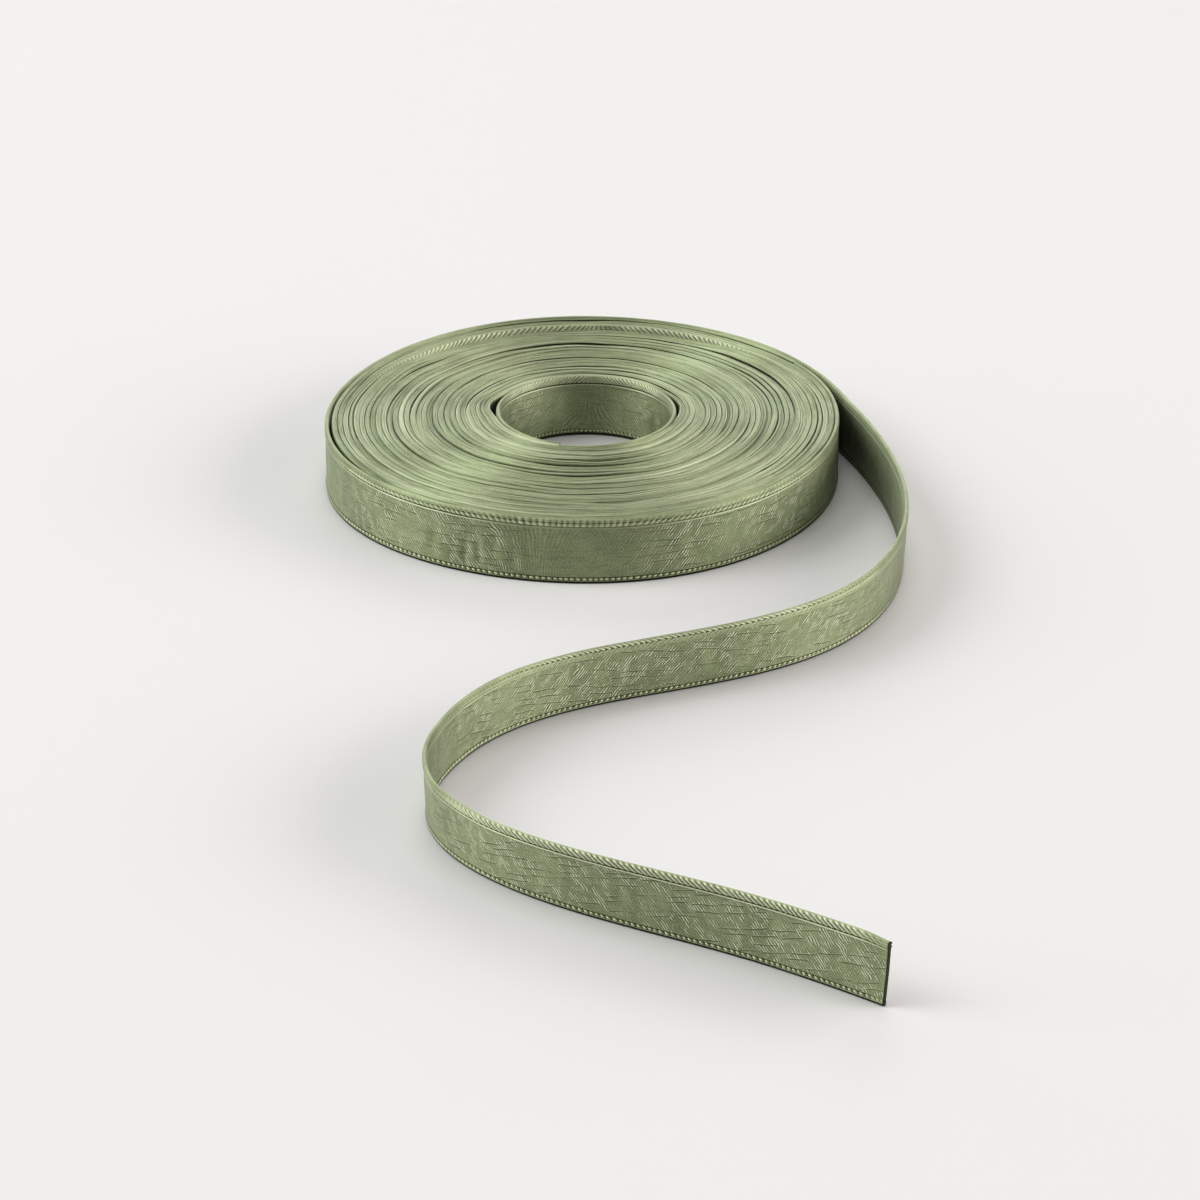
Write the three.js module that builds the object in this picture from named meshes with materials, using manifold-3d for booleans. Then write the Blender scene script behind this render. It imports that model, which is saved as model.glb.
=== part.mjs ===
// A roll of half-inch satin ribbon lying flat on its edge, with its loose end
// pulled out in an S in front of it. Millimetres, +Z up.
//
//   wound_roll   the wound form: every turn from the open centre to the
//                outermost one, with the gaps where turns stand apart
//   loose_end    the free length of the same ribbon, standing on its edge
//
// The wound form is worked out in plan from the roll's own centre, angles in
// degrees from +X, counter-clockwise from above. The ribbon is wound clockwise
// going outwards, and leaves the roll at LEAVES_AT.

import * as THREE from 'three';
import Module from 'manifold-3d';
import { mergeVertices } from 'three/addons/utils/BufferGeometryUtils.js';

// ---- driving sizes --------------------------------------------------------
const RIBBON_WIDTH = 12.7;     // half an inch, across the satin face
const ROLL_RADIUS = 49.5;      // outermost turn, mean
const TURN_STEP = 1.2;         // what one turn adds to the radius
const LEAVES_AT = 33;          // where the loose end leaves the roll
const HOLE_RADIUS = 16.2;      // open centre, with no core in it
const HOLE_X = 0.1;            // the open centre sits a little behind the middle
const HOLE_Y = 2.45;
const SHEET = 1.0;             // thickness of the loose end
const CLEAR = 0.3;             // between pieces
const AROUND = 72;             // steps round the wound form
const STEP_ANGLE = 0.3;        // the last turn ends within this angle
const GROOVE_WIDE = 0.7;       // the grooves between bands of turns
const GROOVE_DEEP = 0.7;

// How far the roll is from round: amount in mm, for each number of lobes.
const OUT_OF_ROUND = [
  { lobes: 2, cosine: -0.33, sine: 0.31 },
  { lobes: 3, cosine: -0.09, sine: -0.15 },
  { lobes: 4, cosine: 0.06, sine: 0.29 },
];

// Bands of turns from the open centre outwards. reach: where the band ends, as
// a share of the way from the centre's edge to the outermost turn. low: how far
// the band's upper edge lies under the tallest one. below: the groove after the
// band also shows from underneath.
const BANDS = [
  { name: 'innermost turns', reach: 0.11, low: 0.00, below: false },
  { name: 'inner ring', reach: 0.205, low: 0.18, below: true },
  { name: 'first wide band', reach: 0.30, low: 0.05, below: false },
  { name: 'second wide band', reach: 0.43, low: 0.22, below: false },
  { name: 'middle band', reach: 0.57, low: 0.08, below: true },
  { name: 'third wide band', reach: 0.70, low: 0.20, below: false },
  { name: 'outer ring', reach: 0.80, low: 0.10, below: false },
  { name: 'last wide band', reach: 0.89, low: 0.16, below: true },
  { name: 'outermost turns', reach: 1.00, low: 0.00, below: false },
];

// Places where one turn stands away from the next, open from top to bottom.
// rim: the edge it follows; wall: ribbon left between that edge and the gap;
// from, to: angles, clockwise or not; wide: the gap at its middle.
const GAPS = [
  { name: 'outermost turn standing off', rim: 'outer', wall: 1.0, from: 158, to: 242, wide: 0.7 },
  { name: 'pocket left of the centre', rim: 'inner', wall: 0.9, from: 154, to: 192, wide: 1.1 },
  { name: 'pocket right of the centre', rim: 'inner', wall: 0.9, from: -14, to: 34, wide: 0.8 },
];

// The loose end, from the roll to the cut end. run: mm along the ribbon to the
// row; bend: degrees of turn for each mm there, + to the left; lean: degrees
// that the upper edge tips to the left.
const LOOSE_END = [
  { name: 'leaves the roll', run: 0.0, bend: -0.809, lean: 0.0 },
  { name: 'clear of the roll', run: 9.0, bend: -0.649, lean: 0.0 },
  { name: 'easing out', run: 22.1, bend: -0.416, lean: -3.0 },
  { name: 'nearly straight', run: 44.1, bend: -0.411, lean: -0.5 },
  { name: 'into the right bend', run: 66.2, bend: -0.606, lean: 2.7 },
  { name: 'right bend', run: 88.3, bend: -0.989, lean: 5.8 },
  { name: 'round the right bend', run: 110.3, bend: -1.297, lean: 9.8 },
  { name: 'out of the right bend', run: 132.4, bend: -0.585, lean: 11.6 },
  { name: 'middle of the S', run: 151.3, bend: 0.314, lean: 12.1 },
  { name: 'into the left bend', run: 167.1, bend: 1.104, lean: 10.8 },
  { name: 'left bend, first half', run: 179.7, bend: 1.372, lean: 8.4 },
  { name: 'left side', run: 190.7, bend: 1.109, lean: 6.2 },
  { name: 'left side, front', run: 201.7, bend: 1.171, lean: 3.7 },
  { name: 'tightest place', run: 212.8, bend: 2.047, lean: -1.5 },
  { name: 'left bend, last half', run: 223.8, bend: 1.682, lean: -7.4 },
  { name: 'out of the left bend', run: 239.5, bend: 0.933, lean: -9.7 },
  { name: 'front run', run: 261.6, bend: 0.320, lean: -7.7 },
  { name: 'bowing back', run: 286.8, bend: -0.376, lean: -5.5 },
  { name: 'cut end', run: 315.2, bend: -0.116, lean: -3.3 },
];
const PATH_STEP = 0.5;         // how finely the loose end's path is worked out
const SECTION_TURN = 5;        // a new section after this much turn,
const SECTION_RUN = 6;         // or this much length

// ---- plan of the wound form -----------------------------------------------
const rad = (deg) => (deg * Math.PI) / 180;
const polar = (radius, deg, x = 0, y = 0) => [x + radius * Math.cos(rad(deg)), y + radius * Math.sin(rad(deg))];

// Share of the last turn wound so far: 0 just past the leaving place, 1 back at it.
function turnShare(deg) {
  const share = ((LEAVES_AT - deg) / 360) % 1;
  return share < 0 ? share + 1 : share;
}

function outerRadius(deg, share = turnShare(deg)) {
  return OUT_OF_ROUND.reduce(
    (r, o) => r + o.cosine * Math.cos(o.lobes * rad(deg)) + o.sine * Math.sin(o.lobes * rad(deg)),
    ROLL_RADIUS + TURN_STEP * (share - 1),
  );
}

// Angles round the form, clockwise from just past the step where the last turn
// ends to just before it. The step itself takes STEP_ANGLE.
const ANGLES = Array.from({ length: AROUND }, (_, i) => ({
  deg: LEAVES_AT - ((360 - STEP_ANGLE) * i) / (AROUND - 1),
  share: i / (AROUND - 1),
}));

// A point between the open centre and the outermost turn. Inner bands close on
// themselves, and the last one carries the step where the ribbon leaves.
function planPoint(place, reach) {
  const share = reach < 1 ? 0.5 : place.share;
  const [hx, hy] = polar(HOLE_RADIUS, place.deg, HOLE_X, HOLE_Y);
  const [ox, oy] = polar(outerRadius(place.deg, share), place.deg);
  return [hx + (ox - hx) * reach, hy + (oy - hy) * reach];
}

// ---- the wound form's cross-section, from the centre outwards ---------------
// rows of { reach, z }: up the upper face, then back along the underside.
function crossSection() {
  const across = ROLL_RADIUS - HOLE_RADIUS;
  const half = GROOVE_WIDE / 2 / across;
  const rows = [];
  let inner = 0;
  BANDS.forEach((band, i) => {
    const last = i === BANDS.length - 1;
    const top = RIBBON_WIDTH - band.low;
    rows.push({ reach: inner, z: top });
    rows.push({ reach: band.reach - (last ? 0 : half), z: top });
    if (!last) {
      rows.push({ reach: band.reach, z: RIBBON_WIDTH - GROOVE_DEEP });
      inner = band.reach + half;
    }
  });
  rows.push({ reach: 1, z: 0 });
  [...BANDS].reverse().filter((band) => band.below).forEach((band) => {
    rows.push({ reach: band.reach + half, z: 0 });
    rows.push({ reach: band.reach, z: GROOVE_DEEP });
    rows.push({ reach: band.reach - half, z: 0 });
  });
  rows.push({ reach: 0, z: 0 });
  return rows;
}

// A closed skin over a loop of equal rings of points.
function skinOf(rings, closed) {
  const points = [];
  const faces = [];
  const n = rings[0].length;
  rings.forEach((ring) => ring.forEach((p) => points.push(...p)));
  const last = closed ? rings.length : rings.length - 1;
  for (let i = 0; i < last; i += 1) {
    const a = i * n;
    const b = ((i + 1) % rings.length) * n;
    for (let j = 0; j < n; j += 1) {
      const k = (j + 1) % n;
      faces.push(a + j, b + j, b + k, a + j, b + k, a + k);
    }
  }
  if (!closed) {
    for (let j = 1; j < n - 1; j += 1) {
      faces.push(0, j, j + 1);
      const e = (rings.length - 1) * n;
      faces.push(e, e + j + 1, e + j);
    }
  }
  const geometry = new THREE.BufferGeometry();
  geometry.setAttribute('position', new THREE.Float32BufferAttribute(points, 3));
  geometry.setIndex(faces);
  return geometry;
}

// ---- joins and cuts ---------------------------------------------------------
const wasm = await Module();
wasm.setup();

function solidOf(geometry) {
  const bare = geometry.clone();
  bare.deleteAttribute('normal');
  bare.deleteAttribute('uv');
  const merged = mergeVertices(bare, 1e-4);
  return new wasm.Manifold(new wasm.Mesh({
    numProp: 3,
    vertProperties: new Float32Array(merged.attributes.position.array),
    triVerts: new Uint32Array(merged.index.array),
  }));
}

function geometryOf(solid) {
  const mesh = solid.getMesh();
  const geometry = new THREE.BufferGeometry();
  geometry.setAttribute('position', new THREE.Float32BufferAttribute(mesh.vertProperties, 3));
  geometry.setIndex([...mesh.triVerts]);
  return geometry;
}

// A crescent in plan that follows one rim, drawn out to the whole height.
function gapPrism(gap) {
  const steps = 18;
  const near = [];
  const far = [];
  for (let i = 0; i <= steps; i += 1) {
    const t = i / steps;
    const deg = gap.from + (gap.to - gap.from) * t;
    const wide = gap.wide * Math.sin(Math.PI * t) ** 0.8;
    const at = (inset) => (gap.rim === 'outer'
      ? polar(outerRadius(deg) - inset, deg)
      : polar(HOLE_RADIUS + inset, deg, HOLE_X, HOLE_Y));
    near.push(at(gap.wall));
    if (i > 0 && i < steps) far.push(at(gap.wall + wide));
  }
  const outline = new THREE.Shape([...near, ...far.reverse()].map(([x, y]) => new THREE.Vector2(x, y)));
  const prism = new THREE.ExtrudeGeometry(outline, { depth: RIBBON_WIDTH + 4, bevelEnabled: false });
  prism.translate(0, 0, -2);
  return prism;
}

function woundRoll() {
  const section = crossSection();
  const rings = ANGLES.map((place) => section.map((row) => [...planPoint(place, row.reach), row.z]));
  return GAPS.reduce(
    (solid, gap) => solid.subtract(solidOf(gapPrism(gap))),
    solidOf(skinOf(rings, true)),
  );
}

// ---- the loose end ----------------------------------------------------------
function rowAt(run) {
  const i = Math.max(1, LOOSE_END.findIndex((row) => row.run >= run));
  const [a, b] = [LOOSE_END[i - 1], LOOSE_END[i]];
  const t = (run - a.run) / (b.run - a.run);
  return { bend: a.bend + (b.bend - a.bend) * t, lean: a.lean + (b.lean - a.lean) * t };
}

function looseEndPath() {
  const length = LOOSE_END[LOOSE_END.length - 1].run;
  const steps = Math.round(length / PATH_STEP);
  const step = length / steps;
  const [x0, y0] = polar(outerRadius(LEAVES_AT, 1) - SHEET / 2 + 0.12, LEAVES_AT);
  const places = [{ run: 0, x: x0, y: y0, heading: LEAVES_AT - 90, lean: rowAt(0).lean }];
  for (let i = 1; i <= steps; i += 1) {
    const was = places[i - 1];
    const run = i * step;
    const now = rowAt(run);
    const turn = ((rowAt(was.run).bend + now.bend) / 2) * step;
    const middle = rad(was.heading + turn / 2);
    places.push({
      run,
      x: was.x + Math.cos(middle) * step,
      y: was.y + Math.sin(middle) * step,
      heading: was.heading + turn,
      lean: now.lean,
    });
  }
  return places;
}

// Upright section across the ribbon: flat on its lower edge, leaning sideways.
function sectionOf(place) {
  const left = [-Math.sin(rad(place.heading)), Math.cos(rad(place.heading))];
  const over = RIBBON_WIDTH * Math.sin(rad(place.lean));
  const high = RIBBON_WIDTH * Math.cos(rad(place.lean));
  const at = (side, z) => [place.x + left[0] * side, place.y + left[1] * side, z];
  const half = SHEET / 2;
  return [at(-half, 0), at(-half + over, high), at(half + over, high), at(half, 0)];
}

function looseEnd() {
  const places = looseEndPath().filter((place) => place.run > CLEAR);
  const kept = [places[0]];
  places.forEach((place, i) => {
    const was = kept[kept.length - 1];
    const turned = Math.abs(place.heading - was.heading) >= SECTION_TURN;
    const gone = place.run - was.run >= SECTION_RUN;
    if (i > 0 && (turned || gone || i === places.length - 1)) kept.push(place);
  });
  return solidOf(skinOf(kept.map(sectionOf), false));
}

// ---- the object ---------------------------------------------------------------
const satin = (name) => new THREE.MeshStandardMaterial({ name, color: 0x869171, roughness: 0.5, metalness: 0 });

function piece(name, solid) {
  const geometry = geometryOf(solid);
  geometry.computeVertexNormals();
  const mesh = new THREE.Mesh(geometry, satin('satin_ribbon'));
  mesh.name = name;
  return mesh;
}

const ribbon = new THREE.Group();
ribbon.add(piece('wound_roll', woundRoll()), piece('loose_end', looseEnd()));

// The origin is under the middle of the whole object, on the surface it lies on.
const box = new THREE.Box3().setFromObject(ribbon);
const middle = box.getCenter(new THREE.Vector3());
ribbon.position.set(-middle.x, -middle.y, -box.min.z);

const object = new THREE.Group();
object.add(ribbon);
export default object;
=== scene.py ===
import math

import bpy
import numpy as np
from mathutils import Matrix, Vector


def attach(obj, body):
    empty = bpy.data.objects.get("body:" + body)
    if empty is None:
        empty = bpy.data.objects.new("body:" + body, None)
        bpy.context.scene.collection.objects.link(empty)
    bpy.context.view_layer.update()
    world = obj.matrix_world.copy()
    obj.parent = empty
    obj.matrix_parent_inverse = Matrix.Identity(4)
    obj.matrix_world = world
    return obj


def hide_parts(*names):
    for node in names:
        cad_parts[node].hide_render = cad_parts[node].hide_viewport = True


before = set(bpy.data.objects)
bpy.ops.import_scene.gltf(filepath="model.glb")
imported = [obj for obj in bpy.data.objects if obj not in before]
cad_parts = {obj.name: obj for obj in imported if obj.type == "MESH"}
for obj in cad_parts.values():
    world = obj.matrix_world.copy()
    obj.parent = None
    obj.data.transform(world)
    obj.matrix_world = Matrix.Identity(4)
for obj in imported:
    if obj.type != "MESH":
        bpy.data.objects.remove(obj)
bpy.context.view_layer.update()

# Everything below is worked out in millimetres from the roll's own centre, and
# moved into the row's frame when a mesh is made.
ROLL_X, ROLL_Y = -5.3656, 79.9268

# ---- the ribbon -------------------------------------------------------------
WIDTH = 12.7          # half an inch
CORD = 0.40           # half thickness of the corded selvedge
TURNS = 31            # wound turns
FIRST = 0.386         # the strip starts at the front of the open centre
LEAVES_AT = 33.0      # where the loose end leaves, degrees from +X
ROLL_RADIUS = 49.5
TURN_STEP = 1.2
HOLE_RADIUS = 16.2
HOLE_X, HOLE_Y = 0.10, 2.45
RIB = 1.12            # pitch of the cord's ribs
BEAD = 1.08           # pitch of the stitch row
STEP = 0.20           # along the ribbon, where its edges are modelled
ROPE_TURN = (26.55, 27.20)   # the turn that stands proud at the back

OUT_OF_ROUND = ((2, -0.33, 0.31), (3, -0.09, -0.15), (4, 0.06, 0.29))

# run, bend in degrees for each mm, lean in degrees
LOOSE_END = np.array([
    (0.0, -0.809, 0.0), (9.0, -0.649, 0.0), (22.1, -0.416, -3.0), (44.1, -0.411, -0.5),
    (66.2, -0.606, 2.7), (88.3, -0.989, 5.8), (110.3, -1.297, 9.8), (132.4, -0.585, 11.6),
    (151.3, 0.314, 12.1), (167.1, 1.104, 10.8), (179.7, 1.372, 8.4), (190.7, 1.109, 6.2),
    (201.7, 1.171, 3.7), (212.8, 2.047, -1.5), (223.8, 1.682, -7.4), (239.5, 0.933, -9.7),
    (261.6, 0.320, -7.7), (286.8, -0.376, -5.5), (315.2, -0.116, -3.3)])

# How the selvedge looks along the loose end, on its outer and its inner face.
# run, slant and strength of the lower ribs, slant and strength of the upper
# ribs, strength of the thin ridge below them
LOOSE_OUTER = np.array([
    (0, 1, 0.25, -1, 0.15, 0.8), (60, 1, 0.15, -1, 0.1, 0.8), (92, 1, 0.2, -1, 0.1, 0.8), (101, 1.3, 0.9, -1, 0.2, 0.5),
    (112, 1.5, 1.0, -1.5, 0.5, 0.3), (124, 1.5, 1.0, -1.5, 1.0, 0.1), (168, 1.5, 1.0, -1.5, 1.0, 0.1),
    (178, 1.5, 0.8, -1.5, 0.35, 0.4), (190, 1, 0.45, -1, 0.15, 0.8), (205, 1, 0.15, -1, 0.1, 0.9),
    (232, 1, 0.3, -1, 0.3, 0.6), (245, 1.5, 0.9, -1.5, 0.8, 0.2), (316, 1.5, 0.9, -1.5, 0.8, 0.2)])
LOOSE_INNER = np.array([
    (0, 1, 0.3, 1, 0.3, 0.9), (70, 1, 0.3, 1, 0.3, 0.9), (90, 1, 0.9, 1, 0.9, 0.8), (195, 1, 0.9, 1, 0.9, 0.8),
    (212, 1, 0.1, 1, 0.1, 0.9), (224, 1, 0.15, 1, 0.15, 0.9), (233, 1, 0.85, 1, 0.85, 1.0), (240, 1, 1.1, 1, 1.1, 1.0),
    (309, 1, 1.1, 1, 1.1, 1.0), (314, 1, 0.3, 1, 0.3, 0.6), (316, 1, 0.1, 1, 0.1, 0.5)])
# The same round the roll's outer face, by its angle, and round the open centre.
ROLL_OUTER = np.array([
    (20, 1, 0.6, -1, 0.2, 0.8), (90, 1, 0.6, 1, 0.2, 0.8), (170, -1, 0.1, -1, 0.1, 0.6), (198, -1, 0.15, -1, 0.1, 0.7),
    (208, -1, 0.9, -1, 0.15, 0.9), (240, -1, 1.0, -1, 0.3, 0.9), (252, -0.5, 0.8, -0.4, 0.55, 0.6), (262, 0, 0.75, 0, 0.6, 0.4),
    (276, 0.2, 0.75, 0.1, 0.55, 0.4), (288, 1, 1.0, 1, 0.6, 0.6), (325, 1, 1.05, 1, 0.5, 0.9), (334, 1, 0.6, 1, 0.2, 0.9),
    (342, 1, 0.1, 1, 0.1, 0.9), (393, 1, 0.3, 1, 0.1, 0.9)])
HOLE_INNER = np.array([
    (-90, 1, 0.5, 1, 0.5, 0.6), (0, 1, 0.2, 1, 0.2, 0.6), (22, 1, 0.5, 1, 0.5, 0.8), (36, 1, 1.1, 1, 1.1, 0.9),
    (78, 1, 1.1, 1, 1.1, 0.9), (84, 0.6, 0.4, 0.6, 0.4, 0.9), (90, -0.9, 1.0, -0.9, 1.0, 0.9), (148, -1, 1.1, -1, 1.1, 0.9),
    (162, -1, 0.3, -1, 0.3, 0.9), (200, -1, 0.3, -1, 0.3, 0.6), (270, 1, 0.5, 1, 0.5, 0.6)])
# which way the weave slants: by angle round the roll, by angle in the centre
ROLL_WEAVE = np.array([(20, 1), (170, -1), (248, -1), (272, 1), (393, 1)])
HOLE_WEAVE = np.array([(-90, 1), (70, 1), (104, -1), (180, -1), (270, 1)])
# how strongly its slanting floats and creases show: by angle round the roll, by
# angle in the centre, by run along the loose end
ROLL_FLOATS = np.array([(20, 0.3), (170, 0.1), (200, 0.2), (212, 0.75), (228, 1.0), (250, 0.9), (260, 0.12), (276, 0.12),
                        (292, 0.9), (322, 1.0), (336, 0.45), (350, 0.12), (393, 0.2)])
HOLE_FLOATS = np.array([(-90, 0.3), (20, 0.4), (45, 0.8), (68, 0.35), (90, 0.12), (112, 0.35), (140, 0.8), (165, 0.3), (270, 0.3)])
LOOSE_FLOATS = np.array([(0, 0.15), (60, 0.3), (84, 0.3), (96, 0.5), (108, 0.95), (190, 1.0), (204, 0.5), (212, 0.25),
                         (224, 0.4), (233, 1.0), (316, 1.0)])
# how much level creases climb the face for each mm along the loose end
LOOSE_SKEW = np.array([(0, 0.0), (90, 0.0), (115, 0.16), (185, 0.2), (205, 0.1), (222, 0.1), (235, 0.24), (316, 0.27)])

# Puckers on the roll's outer face: angle, height, half length, half height,
# depth, slant in mm along for each mm up
PUCKERS = [
    (243.5, 3.6, 0.8, 3.0, 0.30, 0.10), (246.8, 4.2, 0.7, 2.6, 0.26, -0.1), (250.5, 6.0, 1.0, 2.0, 0.16, 0.3),
    (254.5, 3.4, 1.1, 2.4, 0.24, 0.25), (258.0, 5.2, 0.8, 2.2, 0.14, -0.2), (236.0, 5.4, 1.2, 2.6, 0.14, 0.3),
    (296.0, 6.0, 1.4, 3.0, 0.12, 0.2), (309.0, 5.0, 1.2, 3.2, 0.10, 0.2), (229.0, 6.5, 1.3, 2.2, 0.10, 0.3)]

rng = np.random.default_rng(11)


def smooth(x):
    x = np.clip(x, 0.0, 1.0)
    return x * x * (3 - 2 * x)


def waves(x, rows):
    return sum(a * np.sin(2 * np.pi * (f * x + p)) for a, f, p in rows)


def grain(x, each, seed):
    """Smooth random values from -1 to 1, a new one every 1/each."""
    table = np.random.default_rng(seed).uniform(-1, 1, 997)
    x = np.asarray(x, float) * each
    i = np.floor(x).astype(int)
    t = smooth(x - i)
    return table[i % 997] * (1 - t) + table[(i + 1) % 997] * t


def patches(x, y, size, seed):
    table = np.random.default_rng(seed).uniform(-1, 1, (64, 64))
    gx, gy = np.asarray(x) / size + 30.3, np.asarray(y) / size + 30.7
    i, j = np.floor(gx).astype(int), np.floor(gy).astype(int)
    tx, ty = smooth(gx - i), smooth(gy - j)
    a = table[i % 64, j % 64] * (1 - tx) + table[(i + 1) % 64, j % 64] * tx
    b = table[i % 64, (j + 1) % 64] * (1 - tx) + table[(i + 1) % 64, (j + 1) % 64] * tx
    return a * (1 - ty) + b * ty


# ---- plan of the wound turns --------------------------------------------------
# gap rows: turn counted from the inside, middle angle, half angle, width, and
# over how many turns the others give way; side 0 both, 1 only those outside,
# -1 only those inside
GAPS = [
    (30, 202, 46, 0.62, 7, -1),
    (1, 171, 22, 1.15, 6, 1),
    (1, 10, 26, 0.80, 5, 1),
    (20, -12, 24, 0.34, 3, 0),
    (25, -40, 30, 0.40, 3, 0),
    (16, 170, 28, 0.26, 3, 0),
    (12, 84, 40, 0.45, 3, 0),
    (8, 96, 44, 0.50, 3, 0),
    (15, 118, 22, 0.40, 2, 0),
    (22, 140, 26, 0.35, 2, 0),
    (4, -88, 46, 0.32, 2, 0),
    (7, -92, 50, 0.34, 2, 0),
    (12, -84, 44, 0.36, 2, 0),
    (18, -90, 46, 0.38, 2, 0),
    (24, -86, 50, 0.34, 2, 0),
    (28, -84, 40, 0.30, 2, 0),
]
for i in range(46):
    GAPS.append((int(rng.integers(2, 29)), float(rng.uniform(-180, 180)), float(rng.uniform(10, 30)),
                 float(rng.uniform(0.08, 0.30)), 2, 0))


def angle_of(tau):
    return LEAVES_AT - 360.0 * (tau - TURNS)


def outer_radius(deg, share):
    a = np.radians(deg)
    r = ROLL_RADIUS + TURN_STEP * (share - 1)
    for lobes, c, s in OUT_OF_ROUND:
        r = r + c * np.cos(lobes * a) + s * np.sin(lobes * a)
    return r


def plan(tau):
    """Where the middle of the wound strip runs, tau in turns from the inside."""
    deg = angle_of(tau)
    a = np.radians(deg)
    reach = (tau - 0.5) / (TURNS - 1)
    inner = HOLE_RADIUS + CORD - 0.30
    hx, hy = HOLE_X + inner * np.cos(a), HOLE_Y + inner * np.sin(a)
    r = outer_radius(deg, 0.5) - CORD - 0.04
    x = hx + (r * np.cos(a) - hx) * reach
    y = hy + (r * np.sin(a) - hy) * reach
    push = np.zeros_like(tau)
    for turn, mid, half, wide, spread, side in GAPS:
        off = (deg - mid + 180.0) % 360.0 - 180.0
        window = np.cos(np.clip(off / half, -1, 1) * np.pi / 2) ** 1.5
        cross = ((LEAVES_AT - (mid + 180.0)) / 360.0) % 1.0
        n = np.floor(tau - cross)
        base = math.floor(turn - cross + 0.5)
        outside = n >= base
        away = np.where(outside, n - base, base - 1 - n)
        share = np.clip(1 - away / spread, 0, 1)
        if side == 0:
            amount = np.where(outside, 0.5, -0.5)
        elif side == 1:
            amount = np.where(outside, 1.0, 0.0)
        else:
            amount = np.where(outside, 0.0, -1.0)
        push = push + amount * wide * window * share
    # the outermost turn keeps the roll's outline, the innermost keeps the hole's
    push = np.where((tau > TURNS - 1) | (tau < FIRST + 1), 0.0, push)
    return np.stack([x + push * np.cos(a), y + push * np.sin(a)], -1)


def heading_of(points_at, t, d):
    a, b = points_at(t - d), points_at(t + d)
    return np.arctan2(b[:, 1] - a[:, 1], b[:, 0] - a[:, 0])


def turn_low(tau, xy):
    """How far a wound turn's upper edge lies under the ribbon's full width."""
    deg = (angle_of(tau) + 90.0) % 360.0 - 90.0
    w = 0.24 + 0.17 * grain(tau, 2.7, 5) + 0.12 * grain(tau, 7.3, 6) + 0.06 * grain(tau, 19.0, 7)
    w = w + 0.20 * patches(xy[:, 0], xy[:, 1], 11.0, 8) + 0.09 * patches(xy[:, 0], xy[:, 1], 4.3, 9)
    ends = smooth((tau - FIRST - 0.6) / 1.5) * smooth((TURNS - 0.6 - tau) / 1.2)
    w = ends * np.clip(w, 0.0, 0.75)
    # behind the hole the outer turns stand proud of those before them
    back = smooth((deg - 42) / 22) * smooth((146 - deg) / 22)
    dip = smooth((tau - 20.0) / 5.5) * (tau < 26.3)
    return w + 0.95 * back * dip


def splay(tau):
    """How far the lower edge stands outside the upper one, behind the centre."""
    off = (angle_of(tau) - 90.0 + 180.0) % 360.0 - 180.0
    window = np.cos(np.clip(off / 110.0, -1, 1) * np.pi / 2) ** 2
    return 1.2 * window * np.clip(1 - (tau - FIRST - 0.5) / 8.0, 0, 1) ** 1.3


# ---- the loose end's path -----------------------------------------------------
def loose_path(step):
    end = LOOSE_END[-1, 0]
    n = int(round(end / step)) + 1
    run = np.linspace(0, end, n)
    bend = np.interp(run, LOOSE_END[:, 0], LOOSE_END[:, 1])
    lean = np.radians(np.interp(run, LOOSE_END[:, 0], LOOSE_END[:, 2]))
    ds = run[1] - run[0]
    start = plan(np.array([float(TURNS)]))[0]
    h0 = math.radians(LEAVES_AT - 90)
    head = h0 + np.concatenate([[0], np.cumsum(np.radians((bend[1:] + bend[:-1]) / 2) * ds)])
    mid = (head[1:] + head[:-1]) / 2
    x = start[0] + np.concatenate([[0], np.cumsum(np.cos(mid) * ds)])
    y = start[1] + np.concatenate([[0], np.cumsum(np.sin(mid) * ds)])
    return run, np.stack([x, y], -1), head, lean


# ---- cross-section with modelled selvedges --------------------------------------
# Rows up one face: height, half thickness before relief, kind.
# kinds: 0 satin, 1 stitch row, 2 cord, 3 ridge, 4 groove, 5 hem, 6 under edge
# painted dark as contact shadow, 7 groove under the cord, 8 the cord's upper edge
FACE_ROWS = np.array([
    (0.00, 0.22, 6), (0.20, 0.33, 6), (0.42, 0.36, 6), (0.51, 0.35, 5),
    (0.60, 0.29, 1), (0.69, 0.29, 1), (0.80, 0.29, 1), (0.91, 0.29, 1), (1.02, 0.29, 1), (1.13, 0.29, 1),
    (1.22, 0.23, 4), (1.45, 0.27, 0),
    (2.5, 0.27, 0), (3.5, 0.27, 0), (4.6, 0.27, 0), (5.7, 0.27, 0), (6.8, 0.27, 0), (7.9, 0.27, 0), (9.0, 0.27, 0), (10.0, 0.27, 0),
    (10.76, 0.27, 0), (10.86, 0.27, 3), (10.99, 0.27, 3), (11.08, 0.27, 7), (11.24, 0.27, 7),
    (11.38, 0.36, 2), (11.54, 0.39, 2), (11.70, 0.40, 2), (11.86, 0.38, 2), (12.00, 0.37, 2), (12.14, 0.39, 2),
    (12.30, 0.40, 2), (12.46, 0.37, 2), (12.60, 0.27, 8)])
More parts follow.
